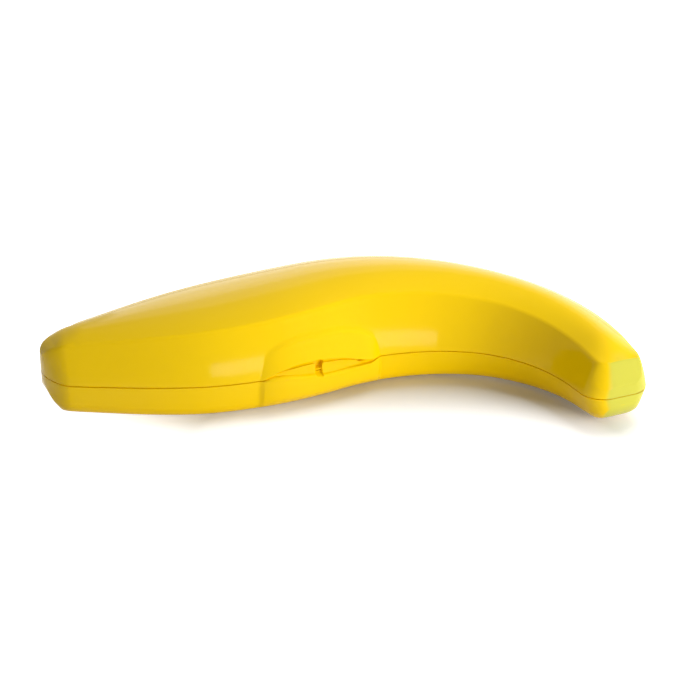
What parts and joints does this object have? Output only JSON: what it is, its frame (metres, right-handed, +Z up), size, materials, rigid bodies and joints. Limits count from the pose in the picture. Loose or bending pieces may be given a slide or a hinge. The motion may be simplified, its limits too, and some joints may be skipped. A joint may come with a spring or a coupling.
{
  "type": "banana carrying case",
  "caption": "Curved clamshell case in the form of a banana, with a hinged lid, a finger grip with a snap catch and a tongued rim.",
  "frame": {"origin": "under the middle of the closed case's box, on the surface that the case stands on", "axes": "+X along the length from the blossom end to the stem end, +Y towards the hinge side, +Z up"},
  "size_m": [0.231, 0.0936, 0.0415],
  "materials": {
    "shell_plastic": "gloss moulded",
    "pin_steel": "drawn"
  },
  "bodies": {
    "base": {"base_shell": "shell_plastic", "hinge_pin_blossom": "pin_steel", "hinge_pin_stem": "pin_steel"},
    "lid": {"lid_shell": "shell_plastic"}
  },
  "joints": [
    {"name": "lid_hinge", "type": "hinge", "parent": "base", "child": "lid", "pos_m": [0.021, 0.04365, 0.014], "axis": [-1, 0, 0], "range_deg": [0, 120]}
  ]
}
